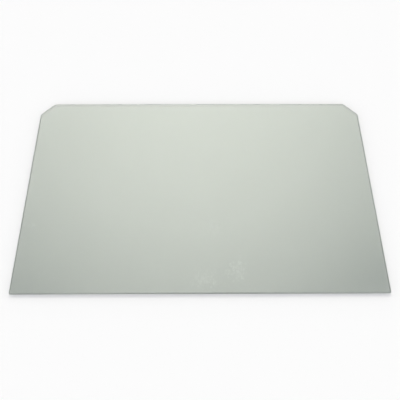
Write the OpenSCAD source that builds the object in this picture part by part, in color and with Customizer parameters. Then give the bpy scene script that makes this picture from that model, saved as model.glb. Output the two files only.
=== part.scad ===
// Crisper cover: one sheet of toughened glass that lies on the ledges over a fridge's vegetable drawer.
// Origin at the centre of the underside, +X to the right, +Y to the back, +Z up.

/* [Sheet] */
// Width of the sheet, left edge to right edge
sheet_width = 475; // [300:1:600]
// Depth of the sheet, front edge to back edge
sheet_depth = 300; // [180:1:450]
// Thickness of the glass
glass_thickness = 4; // [3:0.1:8]

/* [Back corner cuts] */
// Length that each corner cut takes off the back edge
cut_along_back = 19; // [8:0.5:60]
// Length that each corner cut takes off the side edge
cut_along_side = 20; // [8:0.5:60]

/* [Ground edge] */
// Width of the arris, the small 45 degree flat that takes the sharpness off both rims of the edge
arris_width = 1; // [0.3:0.05:1.3]
// Radius that each square front corner is rounded to
corner_radius = 1.5; // [1.4:0.1:5]

/* [Hidden] */
$fn = 64;

half_width = sheet_width / 2;
half_depth = sheet_depth / 2;
// Longer than any line across the sheet, for a shape that has to reach past it
beyond = sheet_width + sheet_depth;
// How far a cutter stands clear of the faces that it cuts away
clear = 1;

// Corners of the outline, clockwise from above, from the front left one
corners = [
    [-half_width, -half_depth],
    [-half_width, half_depth - cut_along_side],
    [-half_width + cut_along_back, half_depth],
    [half_width - cut_along_back, half_depth],
    [half_width, half_depth - cut_along_side],
    [half_width, -half_depth],
];
sides = len(corners);

// Grinding section: the flat of the edge stands at x = 0, and an arris runs back from each of its rims
module grinding_section(depth) {
    polygon([
        [0, arris_width],
        [0, glass_thickness - arris_width],
        [-depth, glass_thickness - arris_width + depth],
        [-depth, arris_width - depth],
    ]);
}

// Everything that grinding one straight side leaves, where the side runs from start to end
module ground_along(start, end) {
    run = end - start;
    translate(start)
        rotate([90, 0, atan2(run.y, run.x) + 90])
            linear_extrude(2 * beyond, center = true)
                grinding_section(beyond);
}

// The sheet as cut and ground one straight side after another, mitred where two of them meet
module ground_blank() {
    intersection() {
        linear_extrude(glass_thickness)
            square(beyond, center = true);
        intersection_for(i = [0 : sides - 1])
            ground_along(corners[i], corners[(i + 1) % sides]);
    }
}

// The square tip of the front right corner
module corner_tip() {
    tip = corner_radius + clear;
    translate([half_width - corner_radius, -half_depth - clear, -clear])
        cube([tip, tip, glass_thickness + 2 * clear]);
}

// The same ground edge, turned round the front right corner
module round_corner() {
    translate([half_width - corner_radius, -half_depth + corner_radius])
        rotate_extrude()
            intersection() {
                square([corner_radius, glass_thickness]);
                translate([corner_radius, 0])
                    grinding_section(corner_radius);
            }
}

// Its children, and their mirror image on the left
module both_sides() {
    children();
    mirror([1, 0])
        children();
}

module glass_sheet() {
    color([0.78, 0.80, 0.77]) {
        difference() {
            ground_blank();
            both_sides()
                corner_tip();
        }
        both_sides()
            round_corner();
    }
}

glass_sheet();
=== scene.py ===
"""Dress the fridge crisper cover: one sheet of toughened glass, lying on a white studio sweep.

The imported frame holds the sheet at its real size, with its ground edge and corner cuts. This script gives
it the look of the real glass, and lays it on a plain floor under soft light, seen from where the
photograph was taken. All lengths are metres, in the frame's own axes, unless a name says otherwise.
"""
import sys

import logging
import math
from collections.abc import Mapping
from dataclasses import dataclass, field
from enum import Enum
from typing import Any

import bpy
from mathutils import Euler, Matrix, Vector


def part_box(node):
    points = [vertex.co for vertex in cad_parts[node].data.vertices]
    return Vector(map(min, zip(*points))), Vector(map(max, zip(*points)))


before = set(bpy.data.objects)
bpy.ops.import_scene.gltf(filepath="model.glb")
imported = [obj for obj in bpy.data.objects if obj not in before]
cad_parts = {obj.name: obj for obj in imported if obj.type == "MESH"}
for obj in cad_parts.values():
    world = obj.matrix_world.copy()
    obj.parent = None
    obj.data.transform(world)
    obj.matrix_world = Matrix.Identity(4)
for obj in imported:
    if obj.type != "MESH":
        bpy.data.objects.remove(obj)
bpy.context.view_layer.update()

log = logging.getLogger("crisper_cover")

MM = 0.001
LEVEL = math.cos(math.radians(20))


def linear_rgba(hex_colour: str) -> tuple[float, float, float, float]:
    """Turn an sRGB hex colour into linear light.

    Args:
        hex_colour: Colour as "#RRGGBB".

    Returns:
        Red, green, blue and a full alpha, each from 0 to 1.
    """
    channels = [int(hex_colour[i:i + 2], 16) / 255 for i in (1, 3, 5)]
    red, green, blue = (
        c / 12.92 if c <= 0.04045 else ((c + 0.055) / 1.055) ** 2.4 for c in channels
    )
    return red, green, blue, 1.0


def add_node(
    tree: bpy.types.NodeTree,
    kind: str,
    settings: Mapping[str, Any] | None = None,
    inputs: Mapping[str | int, Any] | None = None,
) -> bpy.types.Node:
    """Add a node to a tree, with its settings and links.

    Args:
        tree: Node tree that takes the node.
        kind: Blender's name for the kind of node.
        settings: Values for the node's own attributes, by name.
        inputs: A plain value or another node's output for each input, by name or number.

    Returns:
        The new node.
    """
    node = tree.nodes.new(kind)
    for name, value in (settings or {}).items():
        setattr(node, name, value)
    for key, value in (inputs or {}).items():
        if isinstance(value, bpy.types.NodeSocket):
            tree.links.new(value, node.inputs[key])
        else:
            node.inputs[key].default_value = value
    return node


@dataclass(frozen=True)
class Splash:
    """A few drops of water that dried on the glass.

    Attributes:
        x: Middle of the splash, in millimetres to the right of the sheet's middle.
        y: Middle of the splash, in millimetres behind the sheet's middle.
        reach: How far the drops lie from the middle, in millimetres.
    """

    x: float
    y: float
    reach: float


@dataclass(frozen=True)
class FloatGlass:
    """Toughened soda-lime float glass with a flat-ground edge.

    Float glass is fire-polished on molten tin, so both faces are perfectly smooth and mirror the room
    at a few per cent. Toughening leaves them a trace of the oven's rollers, a long low wave that only
    bends reflections. The iron in the glass gives it a pale grey-green tint, which deepens with the
    length of glass that light goes through. The edge and its arrises are cut by a diamond wheel, which
    leaves them frosted, with fine lines along their length. Their grey is painted shade, which darkens
    the line of the edge.

    Attributes:
        name: The material's name.
        ior: Refractive index of soda-lime glass.
        passes: Share of red, green and blue light that one thickness of the glass lets through.
        thickness: Thickness that those shares are for.
        handled_colour: Tint of the polished faces, under a thin film from handling.
        wiped_colour: Tint of the polished faces where that film is thinnest.
        drop_colour: Tint where a drop of water dried.
        edge_painted_shade_colour: Grey painted on the ground edge and arrises, as painted shade that darkens the
            edge's line.
        film_size: Size of the clouds in the film.
        roller_wave_size: Size of the roller waves along X, Y and Z.
        roller_wave_height: Height of the roller waves.
        wheel_roughness: Roughness of the ground edge.
        wheel_line_size: Size of the wheel's lines along X, Y and Z.
        wheel_line_depth: Depth of the wheel's lines.
        splashes: Where drops of water dried on the top face.
        drop_spacing: Distance from one dried drop to the next.
        drop_radius: Radius of a dried drop.
        drop_height: Height of a dried drop.
    """

    name: str = "toughened_float_glass"
    ior: float = 1.52
    passes: tuple[float, float, float] = (0.956, 0.986, 0.958)
    thickness: float = 4 * MM
    handled_colour: str = "#F1F1F1"
    wiped_colour: str = "#F2F2F2"
    drop_colour: str = "#FFFFFF"
    # Grey of the ground edge and arrises: painted shade that darkens the edge's line.
    edge_painted_shade_colour: str = "#BCBCBC"
    film_size: float = 12 * MM
    roller_wave_size: tuple[float, float, float] = (400 * MM, 90 * MM, 90 * MM)
    roller_wave_height: float = 0.05 * MM
    wheel_roughness: float = 0.45
    wheel_line_size: tuple[float, float, float] = (20 * MM, 20 * MM, 0.25 * MM)
    wheel_line_depth: float = 0.01 * MM
    splashes: tuple[Splash, ...] = (
        Splash(18, -60, 17), Splash(46, -119, 22), Splash(6, -130, 24), Splash(-222, -56, 8),
    )
    drop_spacing: float = 3.2 * MM
    drop_radius: float = 1.6 * MM
    drop_height: float = 0.02 * MM

    def material(self) -> bpy.types.Material:
        """Build the glass as a node material."""
        material = bpy.data.materials.new(self.name)
        material.use_nodes = True
        tree = material.node_tree
        tree.nodes.clear()
        place = add_node(tree, "ShaderNodeTexCoord")
        facing = add_node(tree, "ShaderNodeSeparateXYZ", inputs={0: place.outputs["Normal"]}).outputs["Z"]
        ground = self._ground(tree, facing)
        drops = self._drops(tree, place.outputs["Object"], facing)
        roughness = add_node(
            tree, "ShaderNodeMath", {"operation": "MULTIPLY"}, {0: ground, 1: self.wheel_roughness})
        surface = add_node(
            tree, "ShaderNodeBsdfPrincipled", inputs={
                "Base Color": self._colour(tree, place.outputs["Object"], ground, drops),
                "IOR": self.ior,
                "Transmission Weight": 1.0,
                "Roughness": roughness.outputs[0],
                "Normal": self._relief(tree, place.outputs["Object"], ground, drops),
            })
        add_node(
            tree, "ShaderNodeOutputMaterial", inputs={
                "Surface": surface.outputs["BSDF"], "Volume": self._tint(tree),
            })
        return material

    def _ground(
        self, tree: bpy.types.NodeTree, facing: bpy.types.NodeSocket
    ) -> bpy.types.NodeSocket:
        """Tell the ground edge and arrises, at 1, from the level faces, at 0."""
        level = add_node(tree, "ShaderNodeMath", {"operation": "ABSOLUTE"}, {0: facing})
        ground = add_node(
            tree, "ShaderNodeMath", {"operation": "LESS_THAN"}, {0: level.outputs[0], 1: LEVEL})
        return ground.outputs[0]

    def _drops(
        self, tree: bpy.types.NodeTree, place: bpy.types.NodeSocket, facing: bpy.types.NodeSocket
    ) -> bpy.types.NodeSocket:
        """Scatter dried drops on the top face, thickest in the middle of each splash.

        Args:
            tree: Node tree of the material.
            place: Where the surface is.
            facing: How far the surface faces up.

        Returns:
            Height of the drops, from 0 to 1.
        """
        nearness = 0.0
        for splash in self.splashes:
            middle = (splash.x * MM, splash.y * MM, self.thickness)
            distance = add_node(
                tree, "ShaderNodeVectorMath", {"operation": "DISTANCE"}, {0: place, 1: middle})
            near = add_node(
                tree, "ShaderNodeMapRange", {"interpolation_type": "SMOOTHSTEP"}, {
                    "Value": distance.outputs["Value"], "From Max": splash.reach * MM,
                    "To Min": 1.0, "To Max": 0.0,
                })
            nearness = add_node(
                tree, "ShaderNodeMath", {"operation": "MAXIMUM"},
                {0: near.outputs["Result"], 1: nearness}).outputs[0]
        cells = add_node(
            tree, "ShaderNodeTexVoronoi", {"voronoi_dimensions": "2D"},
            {"Vector": place, "Scale": 1 / self.drop_spacing})
        chance = add_node(tree, "ShaderNodeSeparateXYZ", inputs={0: cells.outputs["Color"]})
        fallen = add_node(
            tree, "ShaderNodeMath", {"operation": "LESS_THAN"}, {0: chance.outputs["X"], 1: nearness})
        dome = add_node(
            tree, "ShaderNodeMapRange", {"interpolation_type": "SMOOTHSTEP"}, {
                "Value": cells.outputs["Distance"], "From Max": self.drop_radius / self.drop_spacing,
                "To Min": 1.0, "To Max": 0.0,
            })
        upward = add_node(
            tree, "ShaderNodeMath", {"operation": "GREATER_THAN"}, {0: facing, 1: LEVEL})
        on_top = add_node(
            tree, "ShaderNodeMath", {"operation": "MULTIPLY"},
            {0: fallen.outputs[0], 1: upward.outputs[0]})
        drops = add_node(
            tree, "ShaderNodeMath", {"operation": "MULTIPLY"},
            {0: on_top.outputs[0], 1: dome.outputs["Result"]})
        return drops.outputs[0]

    def _colour(
        self, tree: bpy.types.NodeTree, place: bpy.types.NodeSocket,
        ground: bpy.types.NodeSocket, drops: bpy.types.NodeSocket,
    ) -> bpy.types.NodeSocket:
        """Tint the surfaces: filmed by handling, grey where ground, and paler where drops dried."""
        film = self._noise(tree, place, (self.film_size,) * 3)
        polished = add_node(
            tree, "ShaderNodeMix", {"data_type": "RGBA"}, {
                0: film, 6: linear_rgba(self.handled_colour), 7: linear_rgba(self.wiped_colour),
            })
        spotted = add_node(
            tree, "ShaderNodeMix", {"data_type": "RGBA"}, {
                0: drops, 6: polished.outputs[2], 7: linear_rgba(self.drop_colour),
            })
        # Paint the ground edge and arrises grey: painted shade that darkens the line of the edge.
        colour = add_node(
            tree, "ShaderNodeMix", {"data_type": "RGBA"}, {
                0: ground, 6: spotted.outputs[2], 7: linear_rgba(self.edge_painted_shade_colour),
            })
        return colour.outputs[2]

    def _relief(
        self, tree: bpy.types.NodeTree, place: bpy.types.NodeSocket,
        ground: bpy.types.NodeSocket, drops: bpy.types.NodeSocket,
    ) -> bpy.types.NodeSocket:
        """Bend the surfaces by the roller waves, the dried drops and the wheel's lines."""
        waves = self._noise(tree, place, self.roller_wave_size)
        lines = self._noise(tree, place, self.wheel_line_size)
        normal = None
        for height, share, depth in (
            (waves, 1.0, self.roller_wave_height),
            (drops, 1.0, self.drop_height),
            (lines, ground, self.wheel_line_depth),
        ):
            inputs = {"Height": height, "Strength": share, "Distance": depth}
            if normal is not None:
                inputs["Normal"] = normal
            normal = add_node(tree, "ShaderNodeBump", inputs=inputs).outputs["Normal"]
        return normal

    def _noise(
        self, tree: bpy.types.NodeTree, place: bpy.types.NodeSocket, size: tuple[float, float, float]
    ) -> bpy.types.NodeSocket:
        """Make cloudy noise.

        Args:
            tree: Node tree of the material.
            place: Where the surface is.
            size: Size of the clouds along X, Y and Z.

        Returns:
            The noise, from 0 to 1.
        """
        scaled = add_node(
            tree, "ShaderNodeVectorMath", {"operation": "DIVIDE"}, {0: place, 1: size})
        noise = add_node(
            tree, "ShaderNodeTexNoise", inputs={"Vector": scaled.outputs[0], "Scale": 1.0})
        return noise.outputs[0]

    def _tint(self, tree: bpy.types.NodeTree) -> bpy.types.NodeSocket:
        """Absorb light inside the glass, so that one thickness lets through what is asked."""
        absorbed = [-math.log(share) / self.thickness for share in self.passes]
        density = max(absorbed) * 1.25
        colour = [1 - a / density for a in absorbed]
        volume = add_node(
            tree, "ShaderNodeVolumeAbsorption", inputs={
                "Color": (*colour, 1.0), "Density": density,
            })
        return volume.outputs["Volume"]


@dataclass(frozen=True)
class BackdropPaper:
    """Matt white backdrop paper, off the roll.

    Uncoated paper scatters light evenly and has no gloss, so it shows plain white with a soft shadow.
    Its fibres show only as the faintest tooth.

    Attributes:
        name: The material's name.
        colour: Colour of the paper.
        tooth_size: Size of the paper's tooth.
        tooth_depth: Depth of the paper's tooth.
    """

    name: str = "matt_white_backdrop_paper"
    colour: str = "#FCFCFC"
    tooth_size: float = 1.2 * MM
    tooth_depth: float = 0.02 * MM

    def material(self) -> bpy.types.Material:
        """Build the paper as a node material."""
        material = bpy.data.materials.new(self.name)
        material.use_nodes = True
        tree = material.node_tree
        tree.nodes.clear()
        place = add_node(tree, "ShaderNodeTexCoord")
        tooth = add_node(
            tree, "ShaderNodeTexNoise",
            inputs={"Vector": place.outputs["Object"], "Scale": 1 / self.tooth_size})
        bump = add_node(
            tree, "ShaderNodeBump",
            inputs={"Distance": self.tooth_depth, "Height": tooth.outputs[0]})
        surface = add_node(
            tree, "ShaderNodeBsdfDiffuse",
            inputs={"Color": linear_rgba(self.colour), "Normal": bump.outputs["Normal"]})
        add_node(tree, "ShaderNodeOutputMaterial", inputs={"Surface": surface.outputs["BSDF"]})
        return material


@dataclass
class GlassSheet:
    """The cover itself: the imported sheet, in its own glass.

    Attributes:
        node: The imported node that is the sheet.
        glass: What the sheet is made of.
    """

    node: str = "glass_sheet"
    glass: FloatGlass = field(default_factory=FloatGlass)

    def dress(self) -> bpy.types.Object:
        """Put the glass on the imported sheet, whose shape stays as it is."""
        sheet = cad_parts[self.node]
        low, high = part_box(self.node)
        glass = self.glass.material()
        if not sheet.material_slots:
            sheet.data.materials.append(glass)
        for slot in sheet.material_slots:
            slot.material = glass
        width, depth, thickness = ((high - low) / MM)[:]
        log.info("%s: %.1f x %.1f x %.1f mm, %s", sheet.name, width, depth, thickness, glass.name)
        return sheet


@dataclass(frozen=True)
class SoftLight:
    """A round diffuser as the sheet sees it: brightest in its middle, and fading evenly to its rim.

    Attributes:
        azimuth: Degrees from the back of the sheet, clockwise from above.
        elevation: Degrees above the floor.
        radius: Degrees from its middle to its rim.
        brightness: Red, green and blue at its middle, where 1 is white paper.
    """

    azimuth: float
    elevation: float
    radius: float
    brightness: tuple[float, float, float]

    def direction(self) -> Vector:
        """Point from the sheet to the middle of the light."""
        turn, rise = math.radians(self.azimuth), math.radians(self.elevation)
        return Vector((
            math.sin(turn) * math.cos(rise), math.cos(turn) * math.cos(rise), math.sin(rise)))

    def glow(
        self, tree: bpy.types.NodeTree, looking: bpy.types.NodeSocket
    ) -> bpy.types.NodeSocket:
        """Paint the light on the studio dome.

        Args:
            tree: Node tree of the world.
            looking: Direction that is looked in.

        Returns:
            The light's colour in that direction.
        """
        cosine = add_node(
            tree, "ShaderNodeVectorMath", {"operation": "DOT_PRODUCT"},
            {0: looking, 1: self.direction()})
        angle = add_node(
            tree, "ShaderNodeMath", {"operation": "ARCCOSINE"}, {0: cosine.outputs["Value"]})
        outward = add_node(
            tree, "ShaderNodeMath", {"operation": "DIVIDE"},
            {0: angle.outputs[0], 1: math.radians(self.radius)})
        squared = add_node(
            tree, "ShaderNodeMath", {"operation": "POWER"}, {0: outward.outputs[0], 1: 2.0})
        share = add_node(
            tree, "ShaderNodeMath", {"operation": "SUBTRACT", "use_clamp": True},
            {0: 1.0, 1: squared.outputs[0]})
        glow = add_node(
            tree, "ShaderNodeVectorMath", {"operation": "SCALE"},
            {0: self.brightness, "Scale": share.outputs[0]})
        return glow.outputs["Vector"]


@dataclass
class Studio:
    """A white sweep under a dome of soft light, with the camera where the photograph was taken.

    Attributes:
        paper: What the sweep is made of.
        gap: Height of the sheet's underside over the paper, which is never quite flat.
        sweep_radius: Distance that the paper reaches from the sheet.
        low_wall: White of the studio round the horizon, where 1 is white paper.
        ceiling: Light of the studio overhead.
        wall_top: Sine of the elevation at which the wall starts to darken.
        ceiling_rim: Sine of the elevation at which the ceiling is at its own level.
        key: Light behind the sheet, which the glass mirrors to the camera.
        fill: Light behind the camera.
    """

    paper: BackdropPaper = field(default_factory=BackdropPaper)
    gap: float = 0.6 * MM
    sweep_radius: float = 15.0
    low_wall: float = 1.0
    ceiling: float = 0.3
    wall_top: float = 0.3
    ceiling_rim: float = 0.72
    key: SoftLight = SoftLight(
        azimuth=-1.3, elevation=49.1, radius=27.3, brightness=(3.78, 3.74, 3.39))
    fill: SoftLight = SoftLight(
        azimuth=180, elevation=50, radius=45, brightness=(1.00, 1.01, 1.15))

    def lay_floor(self) -> bpy.types.Object:
        """Lay the paper just under the sheet."""
        reach = self.sweep_radius
        mesh = bpy.data.meshes.new("floor")
        corners = [(x, y, -self.gap) for x, y in ((-reach, -reach), (reach, -reach), (reach, reach), (-reach, reach))]
        mesh.from_pydata(corners, [], [(0, 1, 2, 3)])
        floor = bpy.data.objects.new("floor", mesh)
        bpy.context.scene.collection.objects.link(floor)
        mesh.materials.append(self.paper.material())
        log.info("floor: %s", self.paper.name)
        return floor

    def light(self) -> bpy.types.World:
        """Light the dome: white low walls, a dim ceiling and two soft lights."""
        world = bpy.data.worlds.new("studio_dome")
        world.use_nodes = True
        tree = world.node_tree
        tree.nodes.clear()
        looking = add_node(tree, "ShaderNodeTexCoord").outputs["Generated"]
        height = add_node(tree, "ShaderNodeSeparateXYZ", inputs={0: looking}).outputs["Z"]
        room = add_node(
            tree, "ShaderNodeMapRange", {"interpolation_type": "SMOOTHSTEP"}, {
                "Value": height, "From Min": self.wall_top, "From Max": self.ceiling_rim,
                "To Min": self.low_wall, "To Max": self.ceiling,
            })
        total = room.outputs["Result"]
        for lamp in (self.key, self.fill):
            total = add_node(
                tree, "ShaderNodeVectorMath", {"operation": "ADD"},
                {0: total, 1: lamp.glow(tree, looking)}).outputs["Vector"]
        background = add_node(tree, "ShaderNodeBackground", inputs={"Color": total})
        add_node(tree, "ShaderNodeOutputWorld", inputs={"Surface": background.outputs[0]})
        bpy.context.scene.world = world
        log.info("studio dome: key light %.0f degrees up, fill light %.0f", self.key.elevation, self.fill.elevation)
        return world


@dataclass(frozen=True)
class Viewpoint:
    """The camera, solved from the outline that the sheet has in the photograph.

    Attributes:
        place: Where the lens is, in millimetres.
        tilt: Turn about the camera's own axes, in degrees, from looking straight down.
        field_of_view: Angle across the square picture, in degrees.
    """

    place: tuple[float, float, float] = (-3.4, -374.1, 633.6)
    tilt: tuple[float, float, float] = (29.53, -0.18, -0.26)
    field_of_view: float = 41.25

    def set_up(self) -> bpy.types.Object:
        """Put the camera in the scene."""
        camera = bpy.data.cameras.new("camera")
        camera.lens_unit = "FOV"
        camera.angle = math.radians(self.field_of_view)
        camera.clip_start = 10 * MM
        holder = bpy.data.objects.new("camera", camera)
        holder.location = Vector(self.place) * MM
        holder.rotation_euler = Euler([math.radians(a) for a in self.tilt])
        bpy.context.scene.collection.objects.link(holder)
        bpy.context.scene.camera = holder
        log.info("camera: %.1f mm lens, %.2f m from the sheet", camera.lens, holder.location.length)
        return holder


def main() -> None:
    """Dress the sheet, light it and look at it from where the photograph was taken."""
    logging.basicConfig(level=logging.INFO, format="%(name)s: %(message)s", stream=sys.stdout)
    bpy.context.scene.view_settings.view_transform = "Standard"
    GlassSheet().dress()
    studio = Studio()
    studio.lay_floor()
    studio.light()
    Viewpoint().set_up()


if __name__ == "__main__":
    main()
